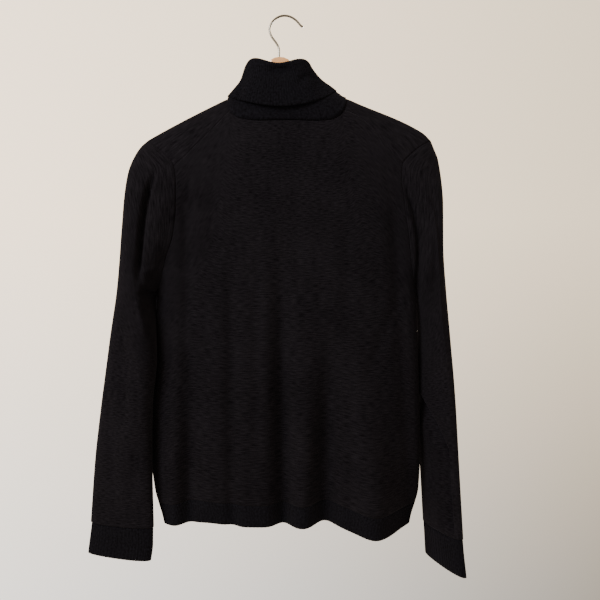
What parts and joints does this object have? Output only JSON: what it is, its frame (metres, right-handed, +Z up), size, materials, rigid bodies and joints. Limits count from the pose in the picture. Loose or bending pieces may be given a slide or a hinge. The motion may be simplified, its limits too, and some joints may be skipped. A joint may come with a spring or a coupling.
{
  "type": "turtleneck sweater on a wooden hanger with a wire hook",
  "caption": "Fine-knit turtleneck sweater seen from its back, hanging on a wooden hanger with a wire hook, with a turned-down ribbed collar, ribbed cuffs and ribbed hem.",
  "frame": {"origin": "the point under the top of the hook's wire where the hook bears on its support", "axes": "+Z up, +X to the right of the back view, +Y away from the viewer: the garment's back faces -Y and its front faces +Y"},
  "size_m": [0.5872, 0.1384, 0.8719],
  "materials": {
    "jersey_knit": "matte fine knit",
    "rib_knit": "matte ribbed knit",
    "hanger_wood": "satin varnish",
    "hook_wire": "polished wire"
  },
  "bodies": {
    "root": {"back_panel": "jersey_knit", "front_panel": "jersey_knit", "sleeve_left": "jersey_knit", "sleeve_right": "jersey_knit", "hem_rib_back": "rib_knit", "hem_rib_front": "rib_knit", "cuff_left": "rib_knit", "cuff_right": "rib_knit", "collar": "rib_knit", "hanger_bar": "hanger_wood", "hanger_hook": "hook_wire"}
  },
  "joints": []
}
